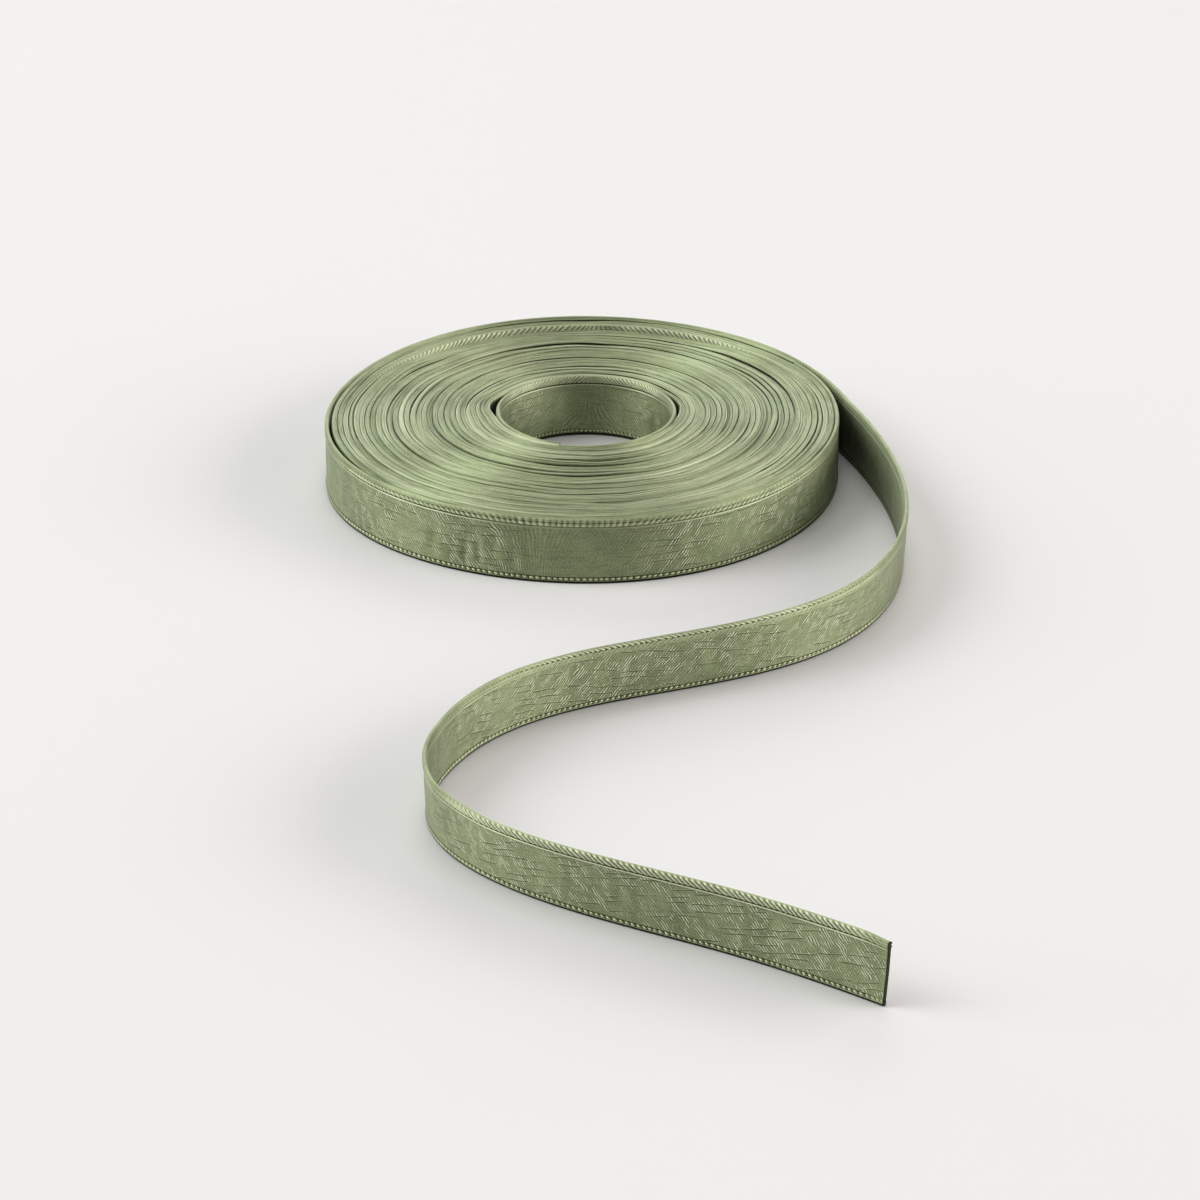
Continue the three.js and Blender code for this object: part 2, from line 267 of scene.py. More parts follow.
HOLE_ROWS = np.array([
    (0.00, 0.20, 6), (0.20, 0.31, 6), (0.42, 0.33, 6), (0.60, 0.31, 4),
    (0.72, 0.29, 1), (0.82, 0.29, 1), (0.92, 0.29, 1), (1.02, 0.29, 1), (1.12, 0.29, 1),
    (1.25, 0.25, 4), (1.50, 0.27, 0),
    (3.0, 0.27, 0), (4.6, 0.27, 0), (6.2, 0.27, 0), (7.8, 0.27, 0), (9.4, 0.27, 0),
    (10.70, 0.27, 0), (10.82, 0.27, 3), (10.93, 0.27, 3), (11.05, 0.24, 7), (11.22, 0.24, 7),
    (11.36, 0.34, 2), (11.52, 0.39, 2), (11.70, 0.41, 2), (11.88, 0.41, 2), (12.06, 0.40, 2), (12.24, 0.38, 2), (12.42, 0.33, 2),
    (12.56, 0.26, 2), (12.65, 0.18, 8)])
HIDDEN_ROWS = np.array([
    (0.00, 0.20, 6), (0.30, 0.33, 5), (4.7, 0.27, 0), (9.0, 0.27, 0), (11.2, 0.36, 5), (11.8, 0.38, 5), (12.3, 0.36, 5),
    (12.52, 0.31, 5), (12.64, 0.21, 5)])


def table_at(table, x):
    return [np.interp(x, table[:, 0], table[:, c]) for c in range(1, table.shape[1])]


def rib(phase, power=0.8):
    return np.abs(np.sin(np.pi * phase)) ** power


def relief(rows, s, look, pitch, stitch, seed):
    """Height added to each row, and how light it is painted, 0 to 1: painted shade in grooves and between ribs and
    beads, painted highlight on ribs, beads and ridges.
    """
    z, kind = rows[:, 0][None, :], rows[:, 2].astype(int)
    jitter = waves(s, [(0.16, 1 / 23.0, 0.1), (0.10, 1 / 9.1, 0.4), (0.06, 1 / 5.3, 0.8)])
    sj = (s + jitter)[:, None]
    low_slant, low_amp, up_slant, up_amp, ridge = (q[:, None] for q in look)
    uneven = 1 + 0.25 * grain(s, 1 / 1.9, seed)[:, None]
    seam = 11.98
    lower = rib((sj + 1.25 * low_slant * (z - 11.5)) / pitch)
    same = (np.sign(low_slant) == np.sign(up_slant)) & (np.abs(up_amp - low_amp) < 0.02)
    upper = np.where(same, lower, rib((sj + 1.25 * (low_slant * (seam - 11.5) + up_slant * (z - seam))) / pitch))
    blend = smooth((z - seam + 0.10) / 0.20)
    f = lower * (1 - blend) + upper * blend
    amp = (low_amp * (1 - blend) + up_amp * blend) * uneven
    split = np.where(same, 0.0, 1.0) * np.exp(-((z - seam) / 0.10) ** 2) * np.clip(0.35 + 0.5 * (low_amp + up_amp), 0, 1)
    smooth_line = 0.5 + 0.30 * np.cos((z - 11.45) * 2 * np.pi / 0.62)
    calm = 1 - np.clip(amp, 0, 1)
    fade = 1 - 0.6 * smooth((z - 12.25) / 0.35)
    cord_h = 0.32 * (f - 0.62) * amp * fade - 0.14 * split + 0.06 * (smooth_line - 0.5) * calm
    cord_up = np.clip(np.clip(amp, 0, 1) * f + calm * smooth_line - 0.6 * split, 0, 1)

    bead_slant = np.clip(low_slant, -1, 1)
    g = rib((sj + 0.8 * bead_slant * (z - 0.86)) / stitch, 1.6)
    bead_amp = np.clip(0.30 + 0.85 * np.maximum(low_amp, grain(s, 1 / 40.0, seed + 3)[:, None] * 0.5 + 0.5), 0.25, 1.1)
    bead = g * np.exp(-((z - (0.86 if rows is not HOLE_ROWS else 0.92)) / 0.21) ** 4)
    n, m = len(s), len(kind)
    out = np.zeros((n, m))
    up = np.full((n, m), 0.5)
    # up is painted lightness: low in grooves, between ribs and beads and under the lower edge as painted shade and
    # painted contact shadow, high on ribs, beads and ridges as painted highlight
    for j in range(m):
        if kind[j] == 2:
            out[:, j], up[:, j] = cord_h[:, j], cord_up[:, j]
        elif kind[j] == 1:
            out[:, j] = 0.26 * (bead[:, j] - 0.25) * bead_amp[:, 0]
            up[:, j] = np.clip(0.42 + (bead[:, j] - 0.35) * 1.3 * bead_amp[:, 0], 0, 1)
        elif kind[j] == 3:
            out[:, j] = 0.10 * ridge[:, 0]
            up[:, j] = 0.5 + 0.45 * ridge[:, 0]
        elif kind[j] == 4:
            up[:, j] = 0.22
        elif kind[j] == 5:
            up[:, j] = 0.60
        # the under edge is painted dark as contact shadow
        elif kind[j] == 6:
            up[:, j] = 0.0
        elif kind[j] == 7:
            out[:, j] = -0.08 * ridge[:, 0]
            up[:, j] = 0.45 - 0.42 * ridge[:, 0]
        elif kind[j] == 8:
            out[:, j] = 0.3 * cord_h[:, j]
            up[:, j] = 0.22 + 0.6 * cord_up[:, j]
    return out, up


def pucker(s, z):
    """Small waves of the satin between its selvedges, the same on both faces."""
    middle = np.sin(np.pi * np.clip((z - 1.5) / 9.0, 0, 1))[None, :]
    a = waves(s, [(0.04, 1 / 7.3, 0.2), (0.03, 1 / 4.1, 0.6), (0.05, 1 / 17.0, 0.9)])[:, None]
    b = waves(s, [(0.03, 1 / 5.3, 0.5), (0.02, 1 / 3.1, 0.1)])[:, None] * np.sin(2 * np.pi * (z / 9.0))[None, :]
    return middle * (a + b)


def weave_coords(s, z, slant):
    """Across and along the weave's slanting threads."""
    whole = np.concatenate([[0], np.cumsum((slant[1:] + slant[:-1]) / 2 * np.diff(s))])
    w = 0.79 * s[:, None] + 0.62 * slant[:, None] * (z - 6.3)
    u = 0.79 * (z - 6.3) - 0.62 * whole[:, None]
    return w, u


def detailed(name, s, pos, head, lean, top, rows1, look1, rows2, look2, slant, floats, skew, pitch=RIB, stitch=BEAD,
             seed=21, droop=None, troughs=None, spread=None, thin=None, dark_end=False):
    """A closed strip with corded edges along a path. lean in radians, top in mm."""
    n = len(s)
    left = np.stack([-np.sin(head), np.cos(head)], -1)
    r1, u1 = relief(rows1, s, look1, pitch, stitch, seed)
    r2, u2 = relief(rows2, s, look2, pitch, stitch, seed + 50)
    z1, z2 = rows1[:, 0], rows2[:, 0]
    p1, p2 = pucker(s, z1), pucker(s, z2)
    if troughs is not None:
        p1, p2 = p1 + troughs(s, z1), p2 + troughs(s, z2)
    stretch = (top / WIDTH)[:, None]
    edge_z = 12.70 * stretch
    zero = np.zeros((n, 1))
    one = np.ones((n, 1))
    a = np.concatenate([p1 + rows1[:, 1] + r1, zero, (p2 - rows2[:, 1] - r2)[:, ::-1]], 1)
    if thin is not None:
        a = a * thin[:, None] + 0.45 * (1 - thin[:, None])
    z = np.concatenate([z1[None, :] * stretch, edge_z, (z2[None, :] * stretch)[:, ::-1]], 1)
    up = np.concatenate([u1, (u1[:, -1:] + u2[:, -1:]) * 0.42, u2[:, ::-1]], 1)
    height = np.concatenate([z1, [12.7], z2[::-1]])
    if droop is not None:
        z = z - droop[:, None] * smooth((z - 9.0) / 3.7)
    slip = np.zeros_like(z)
    if dark_end:
        # the cut is not quite square, and its edge is painted dark as shade
        to_end = s[-1] - s
        up = up * smooth((to_end - 0.15) / 0.30)[:, None]
        slip = (smooth(1 - to_end / 6.0)[:, None]) * (-0.40 + 1.50 * z / WIDTH)
    off = a + z * np.tan(lean)[:, None]
    if spread is not None:
        off = off + spread[:, None] * (1 - z / WIDTH)
    high = z * np.cos(lean)[:, None]
    along = np.stack([np.cos(head), np.sin(head)], -1)
    xy = pos[:, None, :] + left[:, None, :] * off[:, :, None] + along[:, None, :] * slip[:, :, None]
    verts = np.concatenate([xy, high[:, :, None]], 2)
    w, u = weave_coords(s, height[None, :] + 0 * one, slant)
    climb = np.concatenate([[0], np.cumsum((skew[1:] + skew[:-1]) / 2 * np.diff(s))])
    face_z = height[None, :] + 0 * one
    return strip_mesh(name, verts, (s[:, None] + 0 * z, face_z), (w, u), (s[:, None] + 0 * z, face_z - climb[:, None]),
                      up, floats[:, None] + 0 * z)


# ---- plain cross-section for the turns between ------------------------------------
# share of the half thickness from the inner to the outer side, depth under the
# top, how much the fine ridges move it, how light it is painted (painted shade in
# the gaps and grooves, painted highlight on the ridges and the outer corner)
TOP_ROWS = np.array([
    (-1.00, 0.50, 0.0, 0.05), (-0.985, 0.12, 0.0, 0.15), (-0.88, 0.03, 0.2, 0.50), (-0.70, 0.00, 0.8, 0.62), (-0.50, 0.045, 1.0, 0.45),
    (-0.30, 0.00, 1.0, 0.60), (-0.10, 0.05, 1.0, 0.42), (0.10, 0.00, 1.0, 0.62), (0.30, 0.045, 1.0, 0.44), (0.52, 0.00, 1.0, 0.60),
    (0.72, 0.02, 0.8, 0.55), (0.88, 0.00, 0.3, 0.78), (0.985, 0.10, 0.0, 0.45), (1.00, 0.50, 0.0, 0.05)])


def wound(name, tau, s0):
    pts = plan(tau)
    head = heading_of(plan, tau, 1e-3)
    left = np.stack([-np.sin(head), np.cos(head)], -1)
    arc = s0 + np.concatenate([[0], np.cumsum(np.hypot(*np.diff(pts, axis=0).T))])
    out = np.abs(((plan(tau + 1) - pts) * left).sum(1))
    inn = np.abs(((pts - plan(np.maximum(tau - 1, FIRST))) * left).sum(1))
    shift, shift_out, shift_in = splay(tau), splay(tau + 1), splay(tau - 1)
    clear_out = 0.012 + 0.075 * smooth(0.45 + 0.9 * grain(tau, 3.1, 31))
    clear_in = 0.012 + 0.075 * smooth(0.45 + 0.9 * grain(tau - 1, 3.1, 31))
    full = 0.56
    ho = np.minimum(full, (out - clear_out) / 2)
    hi = np.minimum(full, (inn - clear_in) / 2)
    low_ho = np.minimum(full, (out + shift_out - shift - clear_out) / 2)
    low_hi = np.minimum(full, (inn + shift - shift_in - clear_in) / 2)
    top = WIDTH - turn_low(tau, pts)
    tilt = 0.15 * grain(tau, 2.3, 32) + 0.09 * grain(tau, 6.1, 33)
    corner = 1 + 1.8 * smooth(0.4 + 1.3 * grain(tau, 4.3, 34))
    tone = 0.10 * grain(tau, 1.7, 35) + 0.07 * grain(tau, 8.3, 36)
    a, z, up, v = [], [], [], []
    for j, (share, depth, fine, light) in enumerate(TOP_ROWS):
        side = ho if share > 0 else hi
        edge = abs(share) >= 0.87
        d = depth * (corner if edge and depth < 0.2 else 1.0)
        some = smooth(0.6 + 0.9 * grain(tau, 1.9, 60 + j))
        line = fine * 0.10 * grain(tau, 4.0 + 0.7 * j, 40 + j) * some
        a.append(share * side)
        z.append(top - d + line - tilt * share)
        # the fine ridges' height is added to the lightness as painted highlight; tone and the grain near the corners
        # vary at random
        up.append(np.clip(light + 3.2 * line + tone + (0.25 * grain(tau, 3.3, 80 + j) if 0.6 < abs(share) < 0.95 else 0.0), 0, 1))
        v.append(13.0 + (share + 1) * 0.5)
    # the lower edge
    for share, height, r in ((0.95, 0.35, 0.5), (0.55, 0.0, 0.4), (-0.55, 0.0, 0.4), (-0.95, 0.35, 0.5)):
        a.append(share * (low_ho if share > 0 else low_hi) + shift)
        z.append(np.full_like(top, height))
        up.append(np.full_like(top, r))
        v.append(0.2)
    a, z, up, v = np.stack(a, 1), np.stack(z, 1), np.stack(up, 1), np.array(v)
    xy = pts[:, None, :] + left[:, None, :] * a[:, :, None]
    verts = np.concatenate([xy, z[:, :, None]], 2)
    ss = arc[:, None] + 0 * z
    vv = v[None, :] + 0 * z
    return strip_mesh(name, verts, (ss, vv), (ss * 0.79, 0.79 * vv), (ss, vv), up, 0 * z), arc[-1] - s0


# ---- meshes -----------------------------------------------------------------------
def strip_mesh(name, verts, strip, weave, crease, up, floats):
    n, m = verts.shape[:2]
    flat = verts.reshape(-1, 3).copy()
    flat[:, 0] += ROLL_X
    flat[:, 1] += ROLL_Y
    flat[:, 2] = np.maximum(flat[:, 2], 0.0)
    i = np.arange(n - 1)[:, None] * m
    j = np.arange(m)[None, :]
    k = (j + 1) % m
    quads = np.stack([i + j, i + k, i + m + k, i + m + j], -1).reshape(-1, 4)
    p = flat
    a, b, c, d = (p[quads[:, q]] for q in range(4))
    vol = (a * np.cross(b, c)).sum() + (a * np.cross(c, d)).sum()
    if vol < 0:
        quads = quads[:, ::-1]
    start, end = np.arange(m), np.arange((n - 1) * m, n * m)
    if vol < 0:
        end = end[::-1]
    else:
        start = start[::-1]
    loops = [quads.ravel()]
    sizes = [np.full(len(quads), 4)]
    for ring in (start, end):
        loops.append(ring)
        sizes.append(np.array([m]))
    loops, sizes = np.concatenate(loops), np.concatenate(sizes)
    mesh = bpy.data.meshes.new(name)
    mesh.vertices.add(len(flat))
    mesh.vertices.foreach_set("co", (flat * 0.001).astype(np.float32).ravel())
    mesh.loops.add(len(loops))
    mesh.loops.foreach_set("vertex_index", loops.astype(np.int32))
    mesh.polygons.add(len(sizes))
    mesh.polygons.foreach_set("loop_start", np.concatenate([[0], np.cumsum(sizes)[:-1]]).astype(np.int32))
    mesh.polygons.foreach_set("use_smooth", np.concatenate([np.ones(len(quads), bool), np.zeros(len(sizes) - len(quads), bool)]))
    mesh.update(calc_edges=True)
    mesh.validate()
    # in mm: along the ribbon and up its face, across and along its threads,
    # along and up from a level crease
    for label, pair in (("strip", strip), ("weave", weave), ("crease", crease)):
        uv = np.stack([np.asarray(pair[0], float).reshape(-1)[loops], np.asarray(pair[1], float).reshape(-1)[loops]], -1)
        mesh.uv_layers.new(name=label).data.foreach_set("uv", uv.astype(np.float32).ravel())
    # the lightness stored here is painted shade in hollows and painted highlight on raised parts; floats is the weave's
    # strength
    for label, values in (("raised", up), ("floats", floats)):
        layer = mesh.attributes.new(label, "FLOAT", "POINT")
        layer.data.foreach_set("value", np.clip(values, 0, 1).astype(np.float32).ravel())
    mesh.set_sharp_from_angle(angle=math.radians(75))
    obj = bpy.data.objects.new(name, mesh)
    bpy.context.scene.collection.objects.link(obj)
    return obj


# ---- camera ---------------------------------------------------------------------
cam_data = bpy.data.cameras.new("camera")
cam = bpy.data.objects.new("camera", cam_data)
bpy.context.scene.collection.objects.link(cam)
cam_data.sensor_width = 36.0
cam_data.lens = 180.0
cam_data.clip_start, cam_data.clip_end = 0.05, 50.0
cam.location = ((2.976 + ROLL_X) * 0.001, (-1041.262 + ROLL_Y) * 0.001, 0.455360)
cam.rotation_euler = (math.radians(90 - 24.8017), 0, 0)
bpy.context.scene.camera = cam


# ---- material ---------------------------------------------------------------------
class Nodes:
    def __init__(self, name):
        self.mat = bpy.data.materials.new(name)
        self.mat.use_nodes = True
        self.tree = self.mat.node_tree
        self.tree.nodes.clear()

    def add(self, kind, **values):
        node = self.tree.nodes.new(kind)
        inputs = values.pop("inputs", {})
        for key, value in values.items():
            setattr(node, key, value)
        for key, value in inputs.items():
            if hasattr(value, "is_output"):
                self.tree.links.new(value, node.inputs[key])
            else:
                node.inputs[key].default_value = value
        return node

    def math(self, op, a, b=None, c=None, clamp=False):
        node = self.add("ShaderNodeMath", operation=op, use_clamp=clamp)
        for i, x in enumerate((a, b, c)):
            if x is None:
                continue
            if hasattr(x, "is_output"):
                self.tree.links.new(x, node.inputs[i])
            else:
                node.inputs[i].default_value = x
        return node.outputs[0]

    def vec(self, x, y, z=0.0):
        return self.add("ShaderNodeCombineXYZ", inputs={0: x, 1: y, 2: z}).outputs[0]

    def noise(self, at, scale, detail=2.0, rough=0.5):
        node = self.add("ShaderNodeTexNoise", noise_dimensions="3D",
                        inputs={"Vector": at, "Scale": scale, "Detail": detail, "Roughness": rough})
        return node.outputs["Fac"]

    def random(self, at):
        return self.add("ShaderNodeTexWhiteNoise", noise_dimensions="2D", inputs={"Vector": at}).outputs["Value"]

    def step(self, x, lo, hi):
        return self.add("ShaderNodeMapRange", interpolation_type="SMOOTHSTEP",
                        inputs={"Value": x, "From Min": lo, "From Max": hi, "To Min": 0.0, "To Max": 1.0}).outputs[0]

    def mix(self, fac, a, b):
        node = self.add("ShaderNodeMix", data_type="RGBA")
        for socket, x in ((node.inputs[0], fac), (node.inputs[6], a), (node.inputs[7], b)):
            if hasattr(x, "is_output"):
                self.tree.links.new(x, socket)
            else:
                socket.default_value = x
        return node.outputs[2]


def satin_material():
    n = Nodes("satin_ribbon")
    M = n.math

    def pair(uv):
        node = n.add("ShaderNodeSeparateXYZ", inputs={0: n.add("ShaderNodeUVMap", uv_map=uv).outputs[0]})
        return node.outputs[0], node.outputs[1]

    def layer(label):
        return n.add("ShaderNodeAttribute", attribute_name=label, attribute_type="GEOMETRY").outputs["Fac"]

    s, z = pair("strip")
    w, u = pair("weave")
    cs, cz = pair("crease")
    raised, floats = layer("raised"), layer("floats")
    face = M("MULTIPLY", n.step(z, 1.25, 1.45), M("SUBTRACT", 1.0, n.step(z, 10.7, 10.85)))
    over = M("GREATER_THAN", z, 12.85)
    place = n.vec(s, z, 0.0)

    # slanting threads: close lines all over, bolder ones in bundles
    wob = n.noise(place, 0.45, 2.0)
    ww = M("ADD", w, M("MULTIPLY", M("SUBTRACT", wob, 0.5), 0.9))
    fine = M("ADD", M("MULTIPLY", M("SINE", M("MULTIPLY", ww, 2 * math.pi / 0.50)), 0.5), 0.5)
    bundle = n.noise(n.vec(M("MULTIPLY", u, 0.46), M("MULTIPLY", ww, 0.70), 3.1), 1.0, 2.0, 0.6)
    area = n.noise(place, 0.11, 2.0, 0.6)
    most = M("MULTIPLY", n.step(area, 0.30, 0.52), floats)
    strong = M("MULTIPLY", n.step(bundle, 0.50, 0.58), most)
    stroke = M("MULTIPLY", M("POWER", fine, 2.0), strong)
    between = M("MULTIPLY", M("POWER", M("SUBTRACT", 1.0, fine), 2.0), strong)
    cloud = n.noise(place, 0.16, 3.0, 0.6)
    speckle = n.noise(n.vec(s, M("MULTIPLY", z, 1.2), 0.5), 4.2, 0.0, 0.5)
    cross = n.noise(n.vec(M("MULTIPLY", s, 0.35), M("MULTIPLY", z, 3.0), 2.5), 1.0, 1.0, 0.5)

    # thin level creases in short lengths, a step up or down between them: each a dent in the bump, painted dark as
    # shade in the crease, with a painted highlight just beside it
    rise = M("ADD", cz, M("MULTIPLY", M("SUBTRACT", n.noise(n.vec(M("MULTIPLY", cs, 0.13), M("MULTIPLY", cz, 0.16), 5.0), 1.0, 1.0, 0.5), 0.5), 1.5))
    lz = M("DIVIDE", rise, 1.45)
    row = M("FLOOR", lz)
    shift = n.random(n.vec(row, 2.5))
    uu = M("ADD", M("DIVIDE", cs, 5.4), M("MULTIPLY", shift, 7.0))
    cell = M("FLOOR", uu)
    pick = n.random(n.vec(M("ADD", row, 9.1), cell))
    place_in = n.random(n.vec(M("ADD", row, 3.7), M("ADD", cell, 0.5)))
    fu = M("FRACT", uu)
    win = M("MULTIPLY", n.step(fu, 0.0, 0.12), M("SUBTRACT", 1.0, n.step(fu, 0.8, 1.0)))
    off = M("SUBTRACT", M("FRACT", lz), M("ADD", 0.25, M("MULTIPLY", place_in, 0.5)))
    line = M("SUBTRACT", 1.0, n.step(M("ABSOLUTE", off), 0.045, 0.10))
    crease_painted_highlight = M("SUBTRACT", 1.0, n.step(M("ABSOLUTE", M("SUBTRACT", off, 0.13)), 0.02, 0.08))
    some = M("MULTIPLY", M("MULTIPLY", M("GREATER_THAN", pick, 0.36), win), M("MULTIPLY", n.step(area, 0.34, 0.50), floats))
    crease_dent_and_shade = M("MULTIPLY", line, some)
    crease_painted_highlight = M("MULTIPLY", crease_painted_highlight, some)

    # turns seen on edge: fine lines along the strip, raised in the bump, painted light on the ridges as painted
    # highlight and dark between them as painted shade
    edge_lines = n.noise(n.vec(M("MULTIPLY", s, 0.06), M("MULTIPLY", z, 6.0), 0.0), 1.0, 3.0, 0.8)
    edge_patch = n.noise(n.vec(M("MULTIPLY", s, 0.07), M("MULTIPLY", z, 0.8), 0.0), 1.0, 2.0, 0.6)
    edge_grain = n.noise(n.vec(M("MULTIPLY", s, 1.2), M("MULTIPLY", z, 3.0), 4.0), 1.0, 2.0, 0.7)

    base = (0.290, 0.342, 0.184, 1)
    lighter = (0.380, 0.436, 0.247, 1)
    light = (0.520, 0.570, 0.365, 1)
    bright = (0.820, 0.850, 0.640, 1)
    dark = (0.060, 0.080, 0.031, 1)

    def amount(*factors):
        total = factors[0]
        for f in factors[1:]:
            total = M("MULTIPLY", total, f)
        return total

    c = n.mix(n.step(cloud, 0.3, 0.7), base, lighter)
    c = n.mix(amount(n.step(speckle, 0.50, 0.68), 0.42, face), c, light)
    c = n.mix(amount(M("SUBTRACT", 1.0, n.step(speckle, 0.32, 0.50)), 0.32, face), c, dark)
    c = n.mix(amount(M("SUBTRACT", 1.0, n.step(cross, 0.34, 0.48)), 0.18, face), c, dark)
    c = n.mix(amount(M("SUBTRACT", 1.0, fine), M("ADD", 0.16, M("MULTIPLY", floats, 0.30)), face), c, dark)
    c = n.mix(amount(between, 0.66, face), c, dark)
    c = n.mix(amount(stroke, 0.76, face), c, bright)
    # painted shade along the crease lines, then a painted highlight beside them
    c = n.mix(amount(crease_dent_and_shade, 0.80, face), c, dark)
    c = n.mix(amount(crease_painted_highlight, 0.22, face), c, bright)
    # painted highlight on the fine edge ridges, painted shade between them
    c = n.mix(amount(n.step(edge_lines, 0.50, 0.60), 0.42, over), c, light)
    c = n.mix(amount(M("SUBTRACT", 1.0, n.step(edge_lines, 0.36, 0.48)), 0.72, over), c, dark)
    c = n.mix(amount(n.step(edge_patch, 0.5, 0.7), 0.25, over), c, dark)
    c = n.mix(amount(n.step(edge_grain, 0.5, 0.7), 0.25, over), c, light)
    # on the selvedges: painted shade where the painted lightness is low, painted highlight where it is high
    trim = M("SUBTRACT", 1.0, face)
    c = n.mix(amount(M("SUBTRACT", 1.0, n.step(raised, 0.0, 0.48)), 0.92, trim), c, dark)
    c = n.mix(amount(n.step(raised, 0.52, 0.98), 0.70, trim), c, bright)

    # painted shade: near black where the painted lightness is lowest, at the cut end on the face and, in the second
    # mix, under the lower edges as contact shadow and in the gaps between turns
    painted_shade_mask = M("SUBTRACT", 1.0, n.step(raised, 0.0, 0.30))
    c = n.mix(amount(painted_shade_mask, 0.9, face), c, (0.035, 0.047, 0.018, 1))
    c = n.mix(amount(M("SUBTRACT", 1.0, n.step(raised, 0.02, 0.22)), 0.95), c, (0.012, 0.016, 0.006, 1))

    h = M("MULTIPLY", fine, 0.5)
    h = M("ADD", h, M("MULTIPLY", speckle, 0.9))
    h = M("ADD", h, M("MULTIPLY", stroke, 1.2))
    h = M("SUBTRACT", h, M("MULTIPLY", crease_dent_and_shade, 1.2))
    h = M("MULTIPLY", h, face)
    h = M("ADD", h, M("MULTIPLY", M("MULTIPLY", edge_lines, 2.0), over))
    bump = n.add("ShaderNodeBump", inputs={"Strength": 0.6, "Distance": 0.00006, "Height": h})
    tangent = n.add("ShaderNodeTangent", direction_type="UV_MAP", uv_map="strip")
    shader = n.add("ShaderNodeBsdfPrincipled", inputs={
        "Base Color": c, "Normal": bump.outputs[0], "Tangent": tangent.outputs[0],
        "Roughness": M("ADD", 0.50, M("MULTIPLY", speckle, 0.14))})
    shader.inputs["Metallic"].default_value = 0.85
    shader.inputs["Specular IOR Level"].default_value = 0.5
    shader.inputs["Anisotropic"].default_value = 0.88
    shader.inputs["Anisotropic Rotation"].default_value = 0.25
    shader.inputs["Sheen Weight"].default_value = 0.06
    shader.inputs["Sheen Roughness"].default_value = 0.4
    out = n.add("ShaderNodeOutputMaterial")
    n.tree.links.new(shader.outputs[0], out.inputs[0])
    return n.mat


satin = satin_material()


def finish_piece(obj, node):
    obj.data.materials.append(satin)
    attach(obj, "root")
    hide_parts(node)


# ---- the pieces ---------------------------------------------------------------------
def lengths(pts):
    return np.concatenate([[0], np.cumsum(np.hypot(*np.diff(pts, axis=0).T))])


def plain_look(s):
    return [value * np.ones_like(s) for value in (1.0, 0.1, 1.0, 0.1, 0.5)]


def dense_wound(name, t0, t1, radius, s0, inner, outer, weave, floats, inner_rows, pitch, stitch, seed, troughs=None):
    n = int((t1 - t0) * 2 * math.pi * radius / STEP) + 1
    tau = np.linspace(t0, t1, n)
    pts = plan(tau)
    head = heading_of(plan, tau, 1e-3)
    s = s0 + lengths(pts)
    deg = angle_of(tau)
    wrapped = (deg + 90.0) % 360.0 - 90.0
    around = (deg - 20.0) % 360.0 + 20.0
    look1 = table_at(outer, around) if outer is not None else plain_look(s)
    look2 = table_at(inner, wrapped) if inner is not None else plain_look(s)
    turned = wrapped if inner is not None else around
    top = WIDTH - turn_low(tau, pts)
    obj = detailed(name, s, pts, head, np.zeros(n), top,
                   FACE_ROWS if outer is not None else HIDDEN_ROWS, look1, inner_rows, look2,
                   table_at(weave, turned)[0], table_at(floats, turned)[0], np.zeros(n), pitch, stitch, seed,
                   troughs=None if troughs is None else (lambda ss, zz: troughs(around, zz)), spread=splay(tau),
                   thin=None if inner_rows is HIDDEN_ROWS or s0 else 0.4 + 0.6 * smooth((s - s0) / 12.0))
    return obj, s[-1] - s0


def roll_troughs(around, z):
    out = np.zeros((len(around), len(z)))
    for deg, high, half, tall, depth, slant in PUCKERS:
        along = np.radians(around - deg)[:, None] * ROLL_RADIUS - slant * (z - high)[None, :]
        out -= depth * np.exp(-(along / half) ** 2 - ((z - high)[None, :] / tall) ** 2)
    fade = np.clip((z - 1.4) / 1.2, 0, 1) * np.clip((10.6 - z) / 1.5, 0, 1)
    return out * fade[None, :]


pieces = []
obj, size = dense_wound("ribbon_innermost_turn", FIRST, FIRST + 1, HOLE_RADIUS, 0.0, HOLE_INNER, None, HOLE_WEAVE, HOLE_FLOATS,
                        HOLE_ROWS, 0.80, 0.78, 21)
pieces.append((obj, "wound_roll", size, "folded"))
obj, size = dense_wound("ribbon_proud_turn", ROPE_TURN[0], ROPE_TURN[1], 45.0, 3000.0, HOLE_INNER, None, HOLE_WEAVE, HOLE_FLOATS,
                        HOLE_ROWS, RIB, BEAD, 22)
pieces.append((obj, "wound_roll", size, "folded"))
obj, size = dense_wound("ribbon_outermost_turn", TURNS - 1, float(TURNS) - 1e-9, ROLL_RADIUS, -312.0, None, ROLL_OUTER, ROLL_WEAVE,
                        ROLL_FLOATS, HIDDEN_ROWS, RIB, BEAD, 23, roll_troughs)
pieces.append((obj, "wound_roll", size, "folded"))


def even_tau(t0, t1, step):
    """Turns from t0 to t1 in even steps of length."""
    tau = np.linspace(t0, t1, 20000)
    run = lengths(plan(tau))
    n = int(run[-1] / step) + 1
    return np.interp(np.linspace(0, run[-1], n), run, tau)


MIDDLE_STEP = 0.85
for label, t0, t1 in (("inner", FIRST + 1, 18.5), ("middle", 18.5, ROPE_TURN[0]), ("outer", ROPE_TURN[1], TURNS - 1)):
    tau = even_tau(t0, t1, MIDDLE_STEP)
    obj, size = wound("ribbon_%s_turns" % label, tau, 400.0 + 90.0 * t0)
    pieces.append((obj, "wound_roll", size, "folded"))

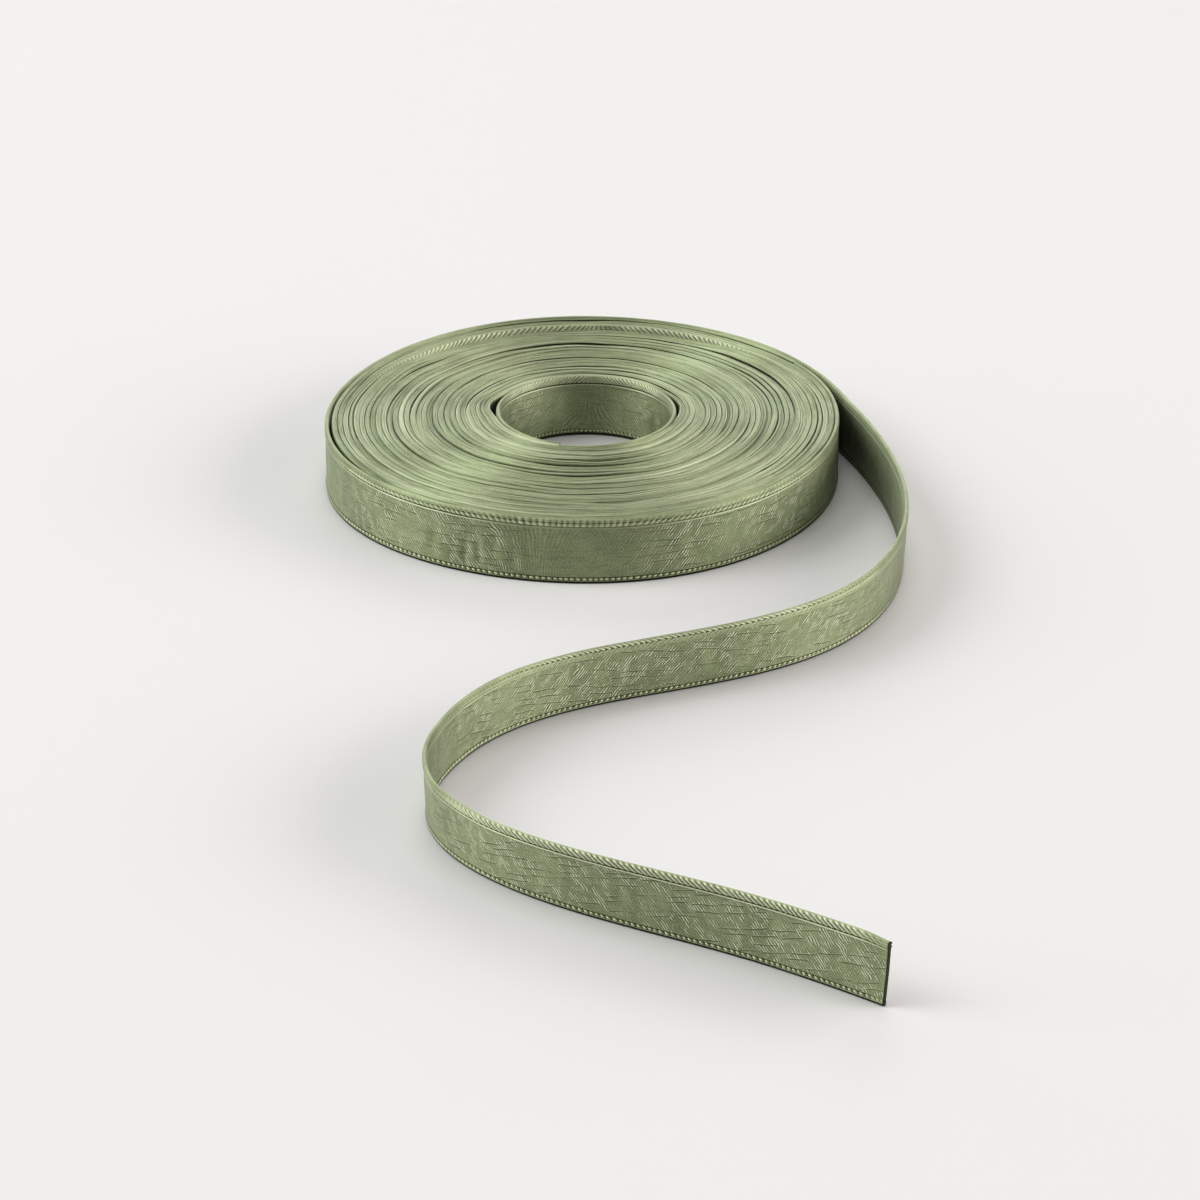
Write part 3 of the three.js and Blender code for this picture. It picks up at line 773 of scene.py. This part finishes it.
run, pts, head, lean = loose_path(STEP)
run = np.concatenate([run, [run[-1] + 0.03]])
pts = np.concatenate([pts, [pts[-1] + 0.03 * np.array([math.cos(head[-1]), math.sin(head[-1])])]])
head, lean = np.append(head, head[-1]), np.append(lean, lean[-1])
droop = 0.45 * smooth((run - (run[-1] - 4.5)) / 4.5)
cut = int(round(196.0 / STEP))
for label, a, b in (("back", 0, cut + 1), ("front", cut, len(run))):
    q = slice(a, b)
    obj = detailed("ribbon_loose_" + label, run[q], pts[q], head[q], lean[q], np.full(b - a, WIDTH),
                   FACE_ROWS, table_at(LOOSE_OUTER, run[q]), FACE_ROWS, table_at(LOOSE_INNER, run[q]),
                   np.ones(b - a), table_at(LOOSE_FLOATS, run[q])[0], table_at(LOOSE_SKEW, run[q])[0],
                   droop=droop[q], seed=24, dark_end=(label == "front"))
    pieces.append((obj, "loose_end", float(run[b - 1] - run[a]), "laid"))

for obj, node, size, held in pieces:
    finish_piece(obj, node)
print("PIECES", [(o.name, round(size, 1), sum(len(p.vertices) - 2 for p in o.data.polygons)) for o, _, size, _ in pieces])

# ---- floor and light ------------------------------------------------------------------
floor_mesh = bpy.data.meshes.new("floor")
floor_mesh.from_pydata([(-6, -6, 0), (6, -6, 0), (6, 6, 0), (-6, 6, 0)], [], [(0, 1, 2, 3)])
floor = bpy.data.objects.new("floor", floor_mesh)
bpy.context.scene.collection.objects.link(floor)
floor.location = (0, 0, -0.00005)
pale = bpy.data.materials.new("pale_floor")
pale.use_nodes = True
p = pale.node_tree.nodes["Principled BSDF"]
p.inputs["Base Color"].default_value = (0.722, 0.716, 0.706, 1)
p.inputs["Roughness"].default_value = 0.9
p.inputs["Specular IOR Level"].default_value = 0.1
floor_mesh.materials.append(pale)

# softboxes: bearing from +X and height in degrees, power in watts, colour
PLAIN, FILL = (0.980, 1.0, 0.992), (1.0, 0.955, 0.96)
LIGHTS = [
    ("top", 0, 90, 10.8, PLAIN), ("left", 180, 45, 16.6, PLAIN), ("left_low", 180, 20, 12.0, PLAIN),
    ("left_front", 210, 45, 6.4, PLAIN), ("left_back_low", 135, 20, 8.0, PLAIN), ("back_low", 90, 25, 11.5, PLAIN),
    ("right_back_low", 25, 20, 13.0, FILL), ("right_low", 350, 20, 24.0, FILL), ("right_front_low", 320, 20, 9.5, FILL),
    ("front", 270, 45, 0.8, FILL)]
for name, bearing, high, power, colour in LIGHTS:
    data = bpy.data.lights.new(name, "AREA")
    data.shape, data.size, data.energy, data.color = "DISK", 1.35, power, colour
    obj = bpy.data.objects.new(name, data)
    bpy.context.scene.collection.objects.link(obj)
    a, e = math.radians(bearing), math.radians(high)
    at = 2.16 * Vector((math.cos(a) * math.cos(e), math.sin(a) * math.cos(e), math.sin(e)))
    obj.location = at
    obj.rotation_euler = (-at).to_track_quat("-Z", "Y").to_euler()

world = bpy.data.worlds.new("world")
bpy.context.scene.world = world
world.use_nodes = True
world.node_tree.nodes["Background"].inputs[0].default_value = (1.0, 0.89, 0.92, 1)
world.node_tree.nodes["Background"].inputs[1].default_value = 0.155

scene = bpy.context.scene
scene.view_settings.view_transform = "Standard"
scene.view_settings.look = "None"
scene.view_settings.exposure = 0.0
scene.view_settings.gamma = 1.0
